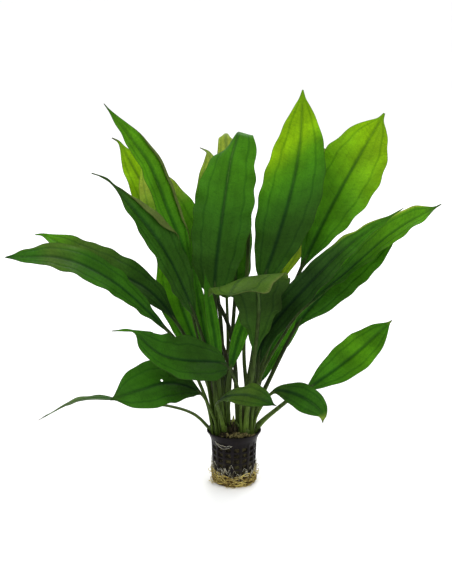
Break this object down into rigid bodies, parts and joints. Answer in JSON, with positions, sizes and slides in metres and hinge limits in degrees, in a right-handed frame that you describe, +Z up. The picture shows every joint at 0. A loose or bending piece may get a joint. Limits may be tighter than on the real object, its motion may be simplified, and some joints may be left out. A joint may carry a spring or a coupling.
{
  "type": "potted sword plant",
  "caption": "Rosette water plant with long-stalked lance-shaped leaves, rooted in rock wool in a round net pot with a woven root mat round its foot.",
  "frame": {"origin": "middle of the root mat's flat underside, on the pot's axis", "axes": "+Z up along the pot's axis, +X along the plant's widest spread, -Y towards the front"},
  "size_m": [0.4102, 0.2583, 0.394],
  "materials": {
    "pot": "satin black moulded plastic",
    "wool": "matte damp mineral fibre",
    "roots": "matte straw-coloured roots",
    "crown": "matte brown plant stock",
    "leaf": "satin green leaf"
  },
  "bodies": {
    "root": {"net_pot": "pot", "rock_wool": "wool", "root_mat": "roots", "crown_left": "crown", "crown_right": "crown", "leaf_tall_middle": "leaf", "leaf_tall_right": "leaf", "leaf_back_right": "leaf", "leaf_tall_left": "leaf", "leaf_back_left": "leaf", "leaf_back_hooked": "leaf", "leaf_upper_left": "leaf", "leaf_upper_left_lower": "leaf", "leaf_crossing": "leaf", "leaf_left_rolled": "leaf", "leaf_left_broad": "leaf", "leaf_reaching_left": "leaf", "leaf_reaching_behind": "leaf", "leaf_low_left_upper": "leaf", "leaf_low_left_lower": "leaf", "leaf_low_left_edge": "leaf", "leaf_low_front": "leaf", "leaf_low_right_drooping": "leaf", "leaf_low_right": "leaf", "leaf_reaching_right": "leaf", "leaf_dark_right": "leaf", "leaf_lower_right": "leaf", "leaf_narrow_right": "leaf", "leaf_arching_centre": "leaf", "leaf_young_centre": "leaf", "leaf_young_left": "leaf", "leaf_young_middle": "leaf"}
  },
  "joints": []
}
